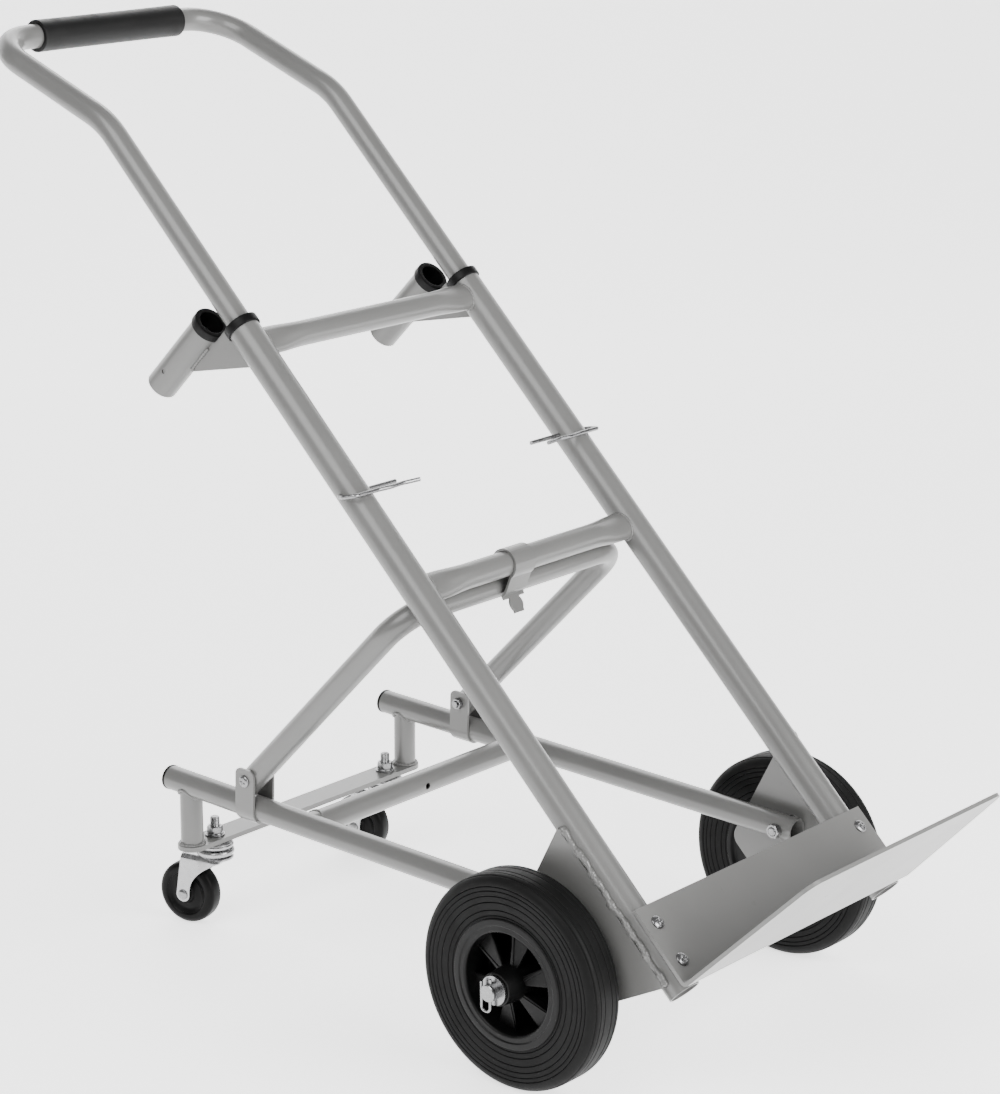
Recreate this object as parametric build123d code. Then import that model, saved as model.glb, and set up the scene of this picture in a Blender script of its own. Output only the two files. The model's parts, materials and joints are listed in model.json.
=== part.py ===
from build123d import *
import math
import os

# Driving dimensions of the convertible hand truck, in millimetres and degrees.
# +X runs to the right as seen from the toe plate, -Y to the front, +Z up.
lean = 44.36                 # angle of the side rails above the floor
rail_half_gap = 193.8        # side rail centre line from the middle plane
rail_radius = 19.0
rail_wall = 2.0
rail_length = 922.0
foot = Vector(0, -180.8, 139.8)   # lower end of the rail centre lines, before centring

crossbar_radius = 15.0
tube_wall = 2.0
crossbar_upper_along = 893.4
crossbar_middle_along = 538.3

handle_radius = 15.0
handle_leg_end = 635.0       # lower end of the handle legs inside the rails
handle_bend_along = 1226.7
handle_top_angle = 20.9      # upper stretch above horizontal
handle_top_length = 219.4
handle_bend_radius = 110.0
handle_corner_radius = 62.0
grip_radius = 20.0
grip_half_length = 118.0

pin_along = 677.6
pin_radius = 2.5
running_gap = 0.06           # radial clearance of a shaft in its hole
free_gap = 0.3               # clearance between bodies that slide past each other

collar_radius = 21.2
collar_height = 11.0
socket_along = 953.0
socket_mouth_behind = 38.0
socket_length = 120.0

wheel_radius = 125.0
wheel_width = 50.0
wheel_half_track = 254.75
axle_radius = 10.0
axle_half_length = 311.75
axle_along = 118.9
axle_behind = 137.0
hub_radius = 76.0
hub_barrel_radius = 21.0
bearing_radius = 16.0
spoke_count = 6

gusset_thickness = 5.0
gusset_root = 105.0          # half width of the wheel gusset at the rail
gusset_tip = 53.0            # half width at its outer end
gusset_reach = 163.0

toe_half_width = 213.0
toe_front_half_width = 187.0
toe_height = 100.0
toe_thickness = 4.5
toe_reach = 226.0
toe_screw_heights = (29.0, 77.0)

castor_half_gap = 195.0
castor_tube_radius = 15.0
castor_tube_slope = 1.46
castor_tube_length = 642.0   # pivot to rear end
castor_tube_nose = 20.0      # stretch in front of the pivot
castor_cross_at = 410.0      # from the pivot, along the tube
pivot_along = 136.1
pivot_behind = 73.2
pivot_bolt_radius = 5.0
bar_radius = 18.0
bar_thickness = 6.0
bar_bottom = 115.0
bar_at = 610.0               # from the pivot, along the tube
post_radius = 14.0
stud_half_gap = 155.9
stud_radius = 6.0
stud_top = 145.0

castor_wheel_radius = 40.0
castor_wheel_width = 25.0
castor_trail = 38.0
castor_yaw = 12.0
castor_axle_radius = 4.0
fork_back = 40.0             # rear edge of the fork's crown, behind the stud

bracket_at = 500.4           # strut bolt from the pivot, along the tube
bracket_rise = 37.1          # strut bolt above the tube centre line
bracket_thickness = 3.0
bracket_width = 30.0
bolt_radius = 4.0
strut_radius = 15.0
strut_hook_drop = 8.0        # strut bar below the middle crossbar, along the rail
strut_hook_behind = 35.0
strut_corner_radius = 48.0

hook_x = -27.0
hook_width = 36.0
hook_thickness = 3.0
hook_gap = 0.5
tab_radius = 10.5

rail_way = Vector(0, math.cos(math.radians(lean)), math.sin(math.radians(lean)))
behind_way = Vector(0, math.sin(math.radians(lean)), -math.cos(math.radians(lean)))
slope_way = Vector(0, math.cos(math.radians(castor_tube_slope)), math.sin(math.radians(castor_tube_slope)))
slope_up = Vector(0, -slope_way.Z, slope_way.Y)
sides = {"left": -1, "right": 1}
low = (Align.CENTER, Align.CENTER, Align.MIN)
parts = {}


def at(along, behind, x=0.0):
    return foot + rail_way * along + behind_way * behind + Vector(x, 0, 0)


def rail_plane(x, along=0.0, behind=0.0):
    """Plane across X whose local x runs up the rail and local y to the front."""
    return Plane(origin=at(along, behind, x), x_dir=rail_way, z_dir=(1, 0, 0))


def slab(plane, outline, thickness):
    return extrude(plane * outline, thickness, dir=plane.z_dir)


def rod(start, end, radius):
    run = end - start
    return Plane(origin=start, z_dir=run) * Cylinder(radius, run.length, align=low)


def tube(start, end, radius, wall):
    run = (end - start).normalized()
    return rod(start, end, radius) - rod(start - run, end + run, radius - wall)


def bent_rod(points, radii, radius):
    route = FilletPolyline(*points, radius=radii)
    return sweep(Plane(origin=route @ 0, z_dir=route % 0) * Circle(radius), path=route)


def bent_tube(points, radii, radius, wall):
    return bent_rod(points, radii, radius) - bent_rod(points, radii, radius - wall)


def hexagon(start, way, across_flats, height):
    return slab(Plane(origin=start, z_dir=way), RegularPolygon(across_flats / math.sqrt(3), 6), height)


def rounded_end(solid, centre, radius):
    rims = solid.edges().filter_by(GeomType.CIRCLE)
    return fillet(rims.sort_by(lambda rim: (rim.arc_center - centre).length)[0], radius)


def side_x(side, distance):
    return Vector(sides[side] * distance, 0, 0)


pivot = at(pivot_along, pivot_behind)
axle_centre = at(axle_along, axle_behind)
crossbar_middle = at(crossbar_middle_along, 0)
strut_hook = at(crossbar_middle_along - strut_hook_drop, strut_hook_behind)
strut_bolt = pivot + slope_way * bracket_at + slope_up * bracket_rise
bar_centre = pivot + slope_way * bar_at
handle_bend = at(handle_bend_along, 0)
top_angle = math.radians(handle_top_angle)
handle_top = handle_bend + Vector(0, math.cos(top_angle), math.sin(top_angle)) * handle_top_length


# Main frame
def make_rails():
    for side, sign in sides.items():
        x = sign * rail_half_gap
        body = tube(at(0, 0, x), at(rail_length, 0, x), rail_radius, rail_wall)
        body -= rod(at(pin_along, 0, x - 30), at(pin_along, 0, x + 30), pin_radius + running_gap)
        for height in toe_screw_heights:
            body -= rod(at(height, -30, x), at(height, 30, x), bolt_radius)
        parts["rail_" + side] = body


def make_crossbar(along):
    reach = Vector(rail_half_gap, 0, 0)
    body = rod(at(along, 0) - reach, at(along, 0) + reach, crossbar_radius)
    inner = rod(at(along, 0) - reach, at(along, 0) + reach, crossbar_radius - tube_wall)
    for sign in sides.values():
        x = sign * rail_half_gap
        body -= rod(at(along - 60, 0, x), at(along + 60, 0, x), rail_radius)
    return body - inner


def ring_collar(base, way):
    """Plastic end ring: a skirt outside the tube, a lip over its end and a sleeve inside it."""
    outside = rod(base - way * (collar_height - 2), base + way * 2, collar_radius)
    outside -= rod(base - way * collar_height, base, rail_radius)
    sleeve = rod(base - way * 24, base + way, rail_radius - rail_wall)
    bore = rod(base - way * 30, base + way * 30, handle_radius + free_gap)
    return outside + sleeve - bore


def make_sockets():
    for side, sign in sides.items():
        x = sign * rail_half_gap
        mouth = at(socket_along, socket_mouth_behind, x)
        end = at(socket_along, socket_mouth_behind + socket_length, x)
        body = tube(end, mouth, rail_radius, rail_wall)
        hole = at(socket_along, socket_mouth_behind + 0.74 * socket_length, x)
        body -= rod(hole, hole + side_x(side, 30), pin_radius + 0.5)
        parts["socket_" + side] = body
        parts["socket_collar_" + side] = ring_collar(mouth, behind_way * -1)
        parts["rail_collar_" + side] = ring_collar(at(rail_length, 0, x), rail_way)
        outline = Polygon((861, 0), (922, 0), (945, -57), (945, -104), (932, -104), align=None)
        gusset = slab(rail_plane(x - 2.5), outline, 5)
        gusset -= rod(at(800, 0, x), at(1000, 0, x), rail_radius)
        gusset -= rod(at(socket_along, 0, x), at(socket_along, 200, x), rail_radius)
        gusset -= rod(at(rail_length - 10, 0, x), at(1000, 0, x), collar_radius)
        gusset -= rod(mouth - behind_way * 20, mouth + behind_way * 10, collar_radius)
        parts["socket_gusset_" + side] = gusset


def make_wheel_gussets():
    for side, sign in sides.items():
        near_face = rail_half_gap + rail_radius
        start = near_face if sign > 0 else -near_face - gusset_thickness
        outline = Polygon(
            (axle_along - gusset_root, 0),
            (axle_along - gusset_tip, -gusset_reach),
            (axle_along + gusset_tip, -gusset_reach),
            (axle_along + gusset_root, 0),
            align=None,
        )
        tips = outline.vertices().sort_by(Axis.Y)[:2]
        outline = fillet(tips, 16)
        plate = slab(rail_plane(start), outline, gusset_thickness)
        plate -= rod(axle_centre - Vector(400, 0, 0), axle_centre + Vector(400, 0, 0), axle_radius)
        plate -= rod(pivot - Vector(400, 0, 0), pivot + Vector(400, 0, 0), pivot_bolt_radius)
        parts["wheel_gusset_" + side] = plate


def make_toe_plate():
    profile = Polygon(
        (0, rail_radius),
        (toe_height, rail_radius),
        (toe_height, rail_radius + toe_thickness),
        (toe_thickness, rail_radius + toe_thickness),
        (toe_thickness, toe_reach),
        (0, toe_reach),
        align=None,
    )
    bend_outside = profile.vertices().sort_by_distance((0, rail_radius, 0))[0]
    profile = fillet(bend_outside, 7)
    bend_inside = profile.vertices().sort_by_distance((toe_thickness, rail_radius + toe_thickness, 0))[0]
    profile = fillet(bend_inside, 3)
    body = slab(rail_plane(-toe_half_width), profile, 2 * toe_half_width)
    side_edge = rail_radius + toe_thickness + 4
    outline = Polygon(
        (-toe_half_width, 0),
        (toe_half_width, 0),
        (toe_half_width, side_edge),
        (toe_front_half_width, toe_reach),
        (-toe_front_half_width, toe_reach),
        (-toe_half_width, side_edge),
        align=None,
    )
    front = outline.vertices().sort_by(Axis.Y)[-2:]
    outline = fillet(front, 20)
    lip_plane = Plane(origin=at(toe_height + 1, 0), x_dir=(1, 0, 0), z_dir=rail_way * -1)
    body &= slab(lip_plane, outline, toe_height + 2)
    heads = []
    nuts = []
    for sign in sides.values():
        x = sign * rail_half_gap
        front_face = -rail_radius - toe_thickness
        for height in toe_screw_heights:
            body -= rod(at(height, -40, x), at(height, 0, x), bolt_radius)
            head = rod(at(height, front_face - 3.5, x), at(height, front_face, x), 8.0)
            head = rounded_end(head, at(height, front_face - 3.5, x), 2.5)
            shank = rod(at(height, front_face, x), at(height, rail_radius + 9, x), bolt_radius)
            heads.append(head + shank)
            nuts.append(hexagon(at(height, rail_radius, x), behind_way, 13, 6.5) - shank)
    parts["toe_plate"] = body
    parts["toe_plate_screws"] = Compound(heads)
    parts["toe_plate_nuts"] = Compound(nuts)


def make_axle():
    reach = Vector(axle_half_length, 0, 0)
    axle = rod(axle_centre - reach, axle_centre + reach, axle_radius)
    axle = chamfer(axle.edges().filter_by(GeomType.CIRCLE), 1.0)
    washers = []
    clips = []
    spacers = []
    clip_radius = 1.6
    for side, sign in sides.items():
        clip_at = axle_centre + side_x(side, axle_half_length - 6)
        drill = rod(clip_at - Vector(0, 0, 30), clip_at + Vector(0, 0, 30), clip_radius)
        axle -= drill
        inner = axle_centre + side_x(side, wheel_half_track + 43.5)
        washer = rod(inner, inner + side_x(side, 2.5), 17)
        washers.append(washer - rod(inner - side_x(side, 5), inner + side_x(side, 5), axle_radius))
        out = Vector(0, 0, 1)
        across = Vector(0, 12.5, 0)
        points = [clip_at + out * 15, clip_at - out * 24, clip_at - out * 24 + across * 0.95,
                  clip_at + across, clip_at + across + out * 10]
        clips.append(bent_rod(points, [5, 5, 3], clip_radius))
        plate_face = axle_centre + side_x(side, rail_half_gap + rail_radius + gusset_thickness)
        spacer_end = axle_centre + side_x(side, wheel_half_track - 25.0)
        spacer = rod(plate_face, spacer_end, 14)
        spacers.append(spacer - rod(plate_face - side_x(side, 5), spacer_end + side_x(side, 5), axle_radius))
    parts["axle"] = axle
    parts["axle_washers"] = Compound(washers)
    parts["axle_clips"] = Compound(clips)
    parts["axle_spacers"] = Compound(spacers)


def make_pivot_bolts():
    bolts = []
    nuts = []
    washers = []
    for side in sides:
        face = pivot + side_x(side, rail_half_gap + rail_radius)
        outer = face + side_x(side, gusset_thickness)
        end = pivot + side_x(side, castor_half_gap - castor_tube_radius - 12)
        shank = rod(end, outer, pivot_bolt_radius)
        head = hexagon(outer, side_x(side, 1), 16, 5)
        bolts.append(shank + head)
        nut_at = pivot + side_x(side, castor_half_gap - castor_tube_radius - 0.5)
        nuts.append(hexagon(nut_at, side_x(side, -1), 16, 8) - shank)
        tube_face = pivot + side_x(side, castor_half_gap + castor_tube_radius + 0.4)
        washers.append(rod(tube_face, face, 10) - shank)
    parts["pivot_bolts"] = Compound(bolts)
    parts["pivot_nuts"] = Compound(nuts)
    parts["pivot_washers"] = Compound(washers)


# Handle
def make_handle():
    half = Vector(rail_half_gap, 0, 0)
    low_end = at(handle_leg_end, 0)
    points = [low_end - half, handle_bend - half, handle_top - half,
              handle_top + half, handle_bend + half, low_end + half]
    radii = [handle_bend_radius, handle_corner_radius, handle_corner_radius, handle_bend_radius]
    body = bent_tube(points, radii, handle_radius, tube_wall)
    grip_half = Vector(grip_half_length, 0, 0)
    for sign in sides.values():
        x = sign * rail_half_gap
        body -= rod(at(pin_along, 0, x - 30), at(pin_along, 0, x + 30), pin_radius + running_gap)
        slot_length = pin_along - handle_leg_end + 5
        slot_centre = at(pin_along - slot_length / 2, 0, x)
        slot = Box(slot_length, 2 * (pin_radius + running_gap), 60)
        body -= Plane(origin=slot_centre, x_dir=rail_way, z_dir=(1, 0, 0)) * slot
    grip = tube(handle_top - grip_half, handle_top + grip_half, grip_radius, grip_radius - handle_radius)
    parts["handle_tube"] = body
    parts["handle_grip"] = grip


def make_hairpins():
    drop = (rail_way * -0.56 - behind_way * 0.83).normalized()
    route = [(122, 0), (217.5, 0), (222.5, 13.5), (217.5, 27), (181, 27), (161, 31), (140, 27), (116, 33)]
    for side, sign in sides.items():
        points = [at(pin_along, 0, sign * x) + drop * lift for x, lift in route]
        radii = [5.5, 7, 5.5, 20, 20, 20]
        parts["hairpin_" + side] = bent_rod(points, radii, pin_radius)


# Castor frame
def make_castor_frame():
    caps = []
    bolts = []
    nuts = []
    bar_z = bar_bottom + bar_thickness
    for side, sign in sides.items():
        x = Vector(sign * castor_half_gap, 0, 0)
        nose = pivot - slope_way * castor_tube_nose + x
        tail = pivot + slope_way * castor_tube_length + x
        body = tube(nose, tail, castor_tube_radius, tube_wall)
        body -= rod(pivot, pivot + x * 2, pivot_bolt_radius + running_gap)
        parts["castor_tube_" + side] = body
        cap = rod(tail, tail + slope_way * 4, castor_tube_radius + 0.4)
        cap += rod(tail - slope_way * 12, tail, castor_tube_radius - tube_wall)
        caps.append(cap)
        foot_point = Vector(x.X, bar_centre.Y, bar_z)
        post = rod(foot_point, bar_centre + x, post_radius)
        post -= rod(foot_point - Vector(0, 0, 1), bar_centre + x, post_radius - tube_wall)
        parts["castor_post_" + side] = post - rod(nose, tail, castor_tube_radius)
        make_bracket(side, x, bolts, nuts)
    reach = Vector(castor_half_gap, 0, 0)
    centre = pivot + slope_way * castor_cross_at
    cross = rod(centre - reach, centre + reach, crossbar_radius)
    cross -= rod(centre - reach, centre + reach, crossbar_radius - tube_wall)
    cross -= rod(centre, centre - slope_way * 30, 4)
    for sign in sides.values():
        x = Vector(sign * castor_half_gap, 0, 0)
        cross -= rod(centre - slope_way * 60 + x, centre + slope_way * 60 + x, castor_tube_radius)
    parts["castor_cross_tube"] = cross
    bar_plane = Plane(origin=(0, bar_centre.Y, bar_bottom))
    bar = slab(bar_plane, SlotCenterToCenter(2 * castor_half_gap, 2 * bar_radius), bar_thickness)
    for sign in sides.values():
        hole = Vector(sign * stud_half_gap, bar_centre.Y, 0)
        bar -= rod(hole, hole + Vector(0, 0, 200), stud_radius)
    parts["castor_bar"] = bar
    parts["castor_tube_caps"] = Compound(caps)
    parts["bracket_bolts"] = Compound(bolts)
    parts["bracket_nuts"] = Compound(nuts)


def make_bracket(side, x, bolts, nuts):
    """Strap bent round the castor tube, with two rounded ears that hold the strut's foot."""
    outer = castor_tube_radius + bracket_thickness
    centre = pivot + slope_way * bracket_at + x
    ears = bracket_rise + bracket_width / 2
    across = Plane(origin=centre - slope_way * (bracket_width / 2), x_dir=(-1, 0, 0), z_dir=slope_way)
    solid = Circle(outer) + Pos(0, ears / 2) * Rectangle(2 * outer, ears)
    space = Circle(castor_tube_radius) + Pos(0, ears) * Rectangle(2 * castor_tube_radius, 2 * ears)
    strap = slab(across, solid - space, bracket_width)
    along = Plane(origin=centre - Vector(30, 0, 0), x_dir=slope_way, z_dir=(1, 0, 0))
    height = ears + 30
    outline = Pos(0, ears - height / 2) * RectangleRounded(bracket_width, height, 8)
    strap &= slab(along, outline, 60)
    bolt_at = strut_bolt + x
    outward = side_x(side, 1)
    strap -= rod(bolt_at - outward * 40, bolt_at + outward * 40, bolt_radius)
    parts["strut_bracket_" + side] = strap
    shank = rod(bolt_at - outward * (outer + 10), bolt_at + outward * outer, bolt_radius)
    head = rod(bolt_at + outward * outer, bolt_at + outward * (outer + 4), 7.5)
    head = rounded_end(head, bolt_at + outward * (outer + 4), 2.5)
    bolts.append(shank + head)
    nuts.append(hexagon(bolt_at - outward * outer, outward * -1, 13, 6.5) - shank)


def make_strut():
    half = Vector(castor_half_gap, 0, 0)
    leg_way = (strut_bolt - strut_hook).normalized()
    end = strut_bolt + leg_way * 14
    points = [end - half, strut_hook - half, strut_hook + half, end + half]
    body = bent_tube(points, [strut_corner_radius] * 2, strut_radius, tube_wall)
    for sign in sides.values():
        x = Vector(sign * castor_half_gap, 0, 0)
        body -= rod(strut_bolt + x - half, strut_bolt + x + half, bolt_radius + running_gap)
        for face in (-1, 1):
            flat = Plane(origin=strut_bolt + x + Vector(face * (14.4 + 5), 0, 0), x_dir=leg_way, z_dir=(1, 0, 0))
            body -= flat * Box(70, 60, 10)
    parts["strut_tube"] = body


def make_hook():
    """Strap round the middle crossbar whose tail passes under the strut bar, ending in a thumb tab."""
    middle = crossbar_radius + hook_gap + hook_thickness / 2
    leave = math.radians(190)
    first = math.radians(-65)
    count = 9
    turns = [first + (leave - first) * i / (count - 1) for i in range(count)]
    arc_points = [(middle * math.cos(t), middle * math.sin(t)) for t in turns]
    under = -strut_hook_drop - strut_radius - hook_gap - hook_thickness / 2
    with BuildLine() as line:
        Spline(*arc_points)
    start = line.line @ 1
    bottom = Vector(under, -strut_hook_behind + 12, 0)
    tail = Vector(under - 0.8, -strut_hook_behind + 5, 0)
    tip = Vector(under - 4, -strut_hook_behind + 4, 0)
    route = Polyline(start, bottom, tail, tip)
    strap = None
    for edge in list(line.line.edges()) + list(route.edges()):
        strip = edge_strip(edge, hook_thickness)
        strap = strip if strap is None else strap + strip
    for corner in (start, bottom, tail, tip):
        strap += Pos(corner.X, corner.Y) * Circle(hook_thickness / 2)
    body = slab(rail_plane(hook_x - hook_width / 2, crossbar_middle_along), strap, hook_width)
    tab_way = (tip - tail).normalized()
    tab_centre = tip + tab_way * (tab_radius - 1)
    local = rail_plane(hook_x, crossbar_middle_along)
    tip_world = local.from_local_coords(tip)
    centre_world = local.from_local_coords(tab_centre)
    way_world = (centre_world - tip_world).normalized()
    face_world = way_world.cross(Vector(1, 0, 0)).normalized()
    tab_plane = Plane(origin=centre_world - face_world * (hook_thickness / 2), x_dir=(1, 0, 0), z_dir=face_world)
    tab_outline = Circle(tab_radius) + Pos(0, -tab_radius / 2) * Rectangle(16, tab_radius)
    tab_outline += Pos(0, tab_radius / 2) * Rectangle(16, tab_radius)
    parts["latch_hook"] = body + slab(tab_plane, tab_outline, hook_thickness)


def edge_strip(edge, width):
    """Flat strip of one width centred on a plane edge."""
    count = 24 if edge.geom_type != GeomType.LINE else 1
    left = []
    right = []
    for i in range(count + 1):
        spot = edge @ (i / count)
        way = edge % (i / count)
        side = Vector(-way.Y, way.X, 0) * (width / 2)
        left.append((spot.X + side.X, spot.Y + side.Y))
        right.append((spot.X - side.X, spot.Y - side.Y))
    return make_face(Polyline(*left, *reversed(right), close=True))


# Main wheels
def ring(centre, way, start, end, outer, inner):
    solid = rod(centre + way * start, centre + way * end, outer)
    return solid - rod(centre + way * (start - 1), centre + way * (end + 1), inner)


def make_wheels():
    for side, sign in sides.items():
        way = Vector(sign, 0, 0)
        centre = axle_centre + way * wheel_half_track
        half = wheel_width / 2
        tyre = ring(centre, way, -half, half, wheel_radius, hub_radius)
        shoulders = [e for e in tyre.edges().filter_by(GeomType.CIRCLE) if e.radius > wheel_radius - 1]
        parts["tyre_" + side] = fillet(shoulders, 11)
        hub = ring(centre, way, -half + 1, half + 1, hub_radius, hub_radius - 5)
        hub += ring(centre, way, -10, -5, hub_radius - 4, hub_barrel_radius - 2)
        hub += ring(centre, way, -half + 0.5, 42.5, hub_barrel_radius, bearing_radius)
        for i in range(spoke_count):
            blade = Pos(0, (hub_radius + hub_barrel_radius) / 2 - 2, 4) * Box(5, hub_radius - hub_barrel_radius, 28)
            turn = Plane(origin=centre, x_dir=(0, 0, 1), z_dir=way) * Rot(0, 0, 360 / spoke_count * i)
            hub += turn * blade
        parts["hub_" + side] = hub
        bearings = [ring(centre, way, -half + 0.5, -half + 13, bearing_radius, axle_radius + running_gap),
                    ring(centre, way, 30, 42.5, bearing_radius, axle_radius + running_gap)]
        parts["wheel_bearings_" + side] = Compound(bearings)


# Castors
def make_castors():
    axle_z = castor_wheel_radius
    yaw = math.radians(castor_yaw)
    trail_way = Vector(-math.sin(yaw), math.cos(yaw), 0)
    across = Vector(math.cos(yaw), math.sin(yaw), 0)
    cap_low = bar_bottom - 10
    crown = cap_low - 13
    nuts = []
    for side, sign in sides.items():
        base = Vector(sign * stud_half_gap, bar_centre.Y, 0)
        up = Vector(0, 0, 1)
        cap = rod(base + up * cap_low, base + up * bar_bottom, 23)
        cap = fillet(cap.edges().filter_by(GeomType.CIRCLE), 2.5)
        parts["castor_cap_" + side] = cap - rod(base, base + up * 200, stud_radius)
        stud = rod(base + up * (crown - 0.4), base + up * stud_top, stud_radius)
        stud += rod(base + up * (crown - 3.4), base + up * (crown - 0.4), 9)
        parts["castor_stud_" + side] = chamfer(stud.edges().sort_by(Axis.Z)[-1], 1.0)
        washer = ring(base, up, bar_bottom + bar_thickness, bar_bottom + bar_thickness + 2, 12.5, stud_radius)
        nut = hexagon(base + up * (bar_bottom + bar_thickness + 2), up, 18, 10)
        nuts += [washer, nut - rod(base, base + up * 200, stud_radius)]
        leg = Polygon((-17, crown + 3), (fork_back, crown + 3), (castor_trail + 9, axle_z + 4),
                      (castor_trail - 8.5, axle_z - 4), align=None)
        leg += Pos(castor_trail, axle_z) * Circle(9.5)
        fork = rod(base + up * crown, base + up * (cap_low - free_gap), 22)
        top = Plane(origin=base + up * crown, x_dir=across, z_dir=up)
        fork += top * Pos(0, (fork_back - 17) / 2, 1.5) * Box(36, fork_back + 17, 3)
        for face in (-1, 1):
            inner = 15.5 if face > 0 else -18.0
            leg_plane = Plane(origin=base + across * inner, x_dir=trail_way, z_dir=across)
            fork += slab(leg_plane, leg, 2.5)
        hub_centre = base + trail_way * castor_trail + up * axle_z
        fork -= rod(base, base + up * 200, stud_radius + running_gap)
        fork -= rod(hub_centre - across * 40, hub_centre + across * 40, castor_axle_radius)
        parts["castor_fork_" + side] = fork
        pin = rod(hub_centre - across * 18, hub_centre + across * 18, castor_axle_radius)
        pin += rod(hub_centre - across * 20.5, hub_centre - across * 18, 6.5)
        pin += rod(hub_centre + across * 18, hub_centre + across * 20.5, 6.5)
        parts["castor_axle_" + side] = pin
        half = castor_wheel_width / 2
        tyre = ring(hub_centre, across, -half, half, castor_wheel_radius, 27)
        edges = [e for e in tyre.edges().filter_by(GeomType.CIRCLE) if e.radius > castor_wheel_radius - 1]
        parts["castor_tyre_" + side] = fillet(edges, 4)
        parts["castor_hub_" + side] = ring(hub_centre, across, -half - 1.5, half + 1.5, 12,
                                           castor_axle_radius + running_gap)
        parts["castor_hub_" + side] += ring(hub_centre, across, -half + 2, half - 2, 27,
                                            castor_axle_radius + running_gap)
    parts["castor_nuts"] = Compound(nuts)


make_rails()
parts["crossbar_upper"] = make_crossbar(crossbar_upper_along)
parts["crossbar_middle"] = make_crossbar(crossbar_middle_along)
make_sockets()
make_wheel_gussets()
make_toe_plate()
make_axle()
make_pivot_bolts()
make_handle()
make_hairpins()
make_castor_frame()
make_strut()
make_hook()
make_wheels()
make_castors()

# The finished model stands on the floor with its origin under the middle of its bounding box.
whole = Compound(list(parts.values())).bounding_box()
centring = Vector(-whole.center().X, -whole.center().Y, -whole.min.Z)
os.makedirs("parts", exist_ok=True)
for name, body in parts.items():
    export_step(Location(centring) * body, "parts/" + name + ".step")

places = {"pivot": pivot, "strut_bolt": strut_bolt, "axle": axle_centre, "crossbar": crossbar_middle,
          "bar": bar_centre, "strut_hook": strut_hook, "foot": foot, "handle_top": handle_top,
          "handle_bend": handle_bend, "socket_mouth": at(socket_along, socket_mouth_behind)}
castor_way = Vector(-math.sin(math.radians(castor_yaw)), math.cos(math.radians(castor_yaw)), 0)
directions = {"castor_axle_offset": castor_way * castor_trail, "rail_way": rail_way, "behind_way": behind_way}
for name, place in places.items():
    spot = place + centring
    print(name, round(spot.X, 3), round(spot.Y, 3), round(spot.Z, 3))
for name, way in directions.items():
    print(name, round(way.X, 3), round(way.Y, 3), round(way.Z, 3))
print("size", whole.size)
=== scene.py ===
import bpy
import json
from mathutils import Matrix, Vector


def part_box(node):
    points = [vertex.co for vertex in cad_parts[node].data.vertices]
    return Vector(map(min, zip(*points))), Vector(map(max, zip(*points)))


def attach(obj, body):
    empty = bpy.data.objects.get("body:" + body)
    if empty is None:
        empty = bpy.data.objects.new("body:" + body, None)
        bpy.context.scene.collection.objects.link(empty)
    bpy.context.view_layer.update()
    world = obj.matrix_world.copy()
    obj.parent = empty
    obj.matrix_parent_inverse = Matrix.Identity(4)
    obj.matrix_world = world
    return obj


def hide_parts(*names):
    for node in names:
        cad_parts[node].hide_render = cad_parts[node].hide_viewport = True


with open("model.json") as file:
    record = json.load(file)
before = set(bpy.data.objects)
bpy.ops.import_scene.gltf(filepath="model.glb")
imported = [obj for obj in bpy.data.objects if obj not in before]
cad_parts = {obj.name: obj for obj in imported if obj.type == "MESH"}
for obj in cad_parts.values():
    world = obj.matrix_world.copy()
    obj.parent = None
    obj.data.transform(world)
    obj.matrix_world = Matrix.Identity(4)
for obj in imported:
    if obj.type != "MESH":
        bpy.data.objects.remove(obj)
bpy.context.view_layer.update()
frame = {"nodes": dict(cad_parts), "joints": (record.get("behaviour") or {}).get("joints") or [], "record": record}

import json
import math
import bmesh
import bpy
import numpy as np
from mathutils import Matrix, Vector

mm = 0.001
joints = {joint["name"]: joint for joint in frame["joints"]}
sideSign = {"left": -1.0, "right": 1.0}
xWay = np.array([1.0, 0.0, 0.0])
upWay = np.array([0.0, 0.0, 1.0])
railWay = np.array(joints["handle_slide"]["axis"], float)
behindWay = np.array([0.0, railWay[2], -railWay[1]])
pivotAt = np.array(joints["castor_frame_fold"]["pos_m"], float) * [0, 1, 1]
strutBoltAt = np.array(joints["strut_fold"]["pos_m"], float) * [0, 1, 1]
hookAt = np.array(joints["hook_turn"]["pos_m"], float)
# millimetres up the rail, out from the middle plane or along the castor frame; the slope is in degrees
layout = {"crossbarMiddle": 538.3, "crossbarUpper": 893.4, "railGap": 193.8, "railRadius": 19.0,
          "railLength": 922.0, "socketAlong": 953.0, "socketMouth": 38.0, "castorGap": 195.0,
          "tubeRadius": 15.0, "tubeSlope": 1.46, "castorCross": 410.0, "castorBar": 610.0, "tubeEnd": 642.0}
footAt = hookAt * [0, 1, 1] - railWay * layout["crossbarMiddle"] * mm
slope = math.radians(layout["tubeSlope"])
slopeWay = np.array([0, math.cos(slope), math.sin(slope)])
slopeUp = np.array([0, -slopeWay[2], slopeWay[1]])


def at(along, behind, x=0.0):
    # Point from distances up the rail, behind its axis and across, in millimetres.
    return footAt + (railWay * along + behindWay * behind + xWay * x) * mm


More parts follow.
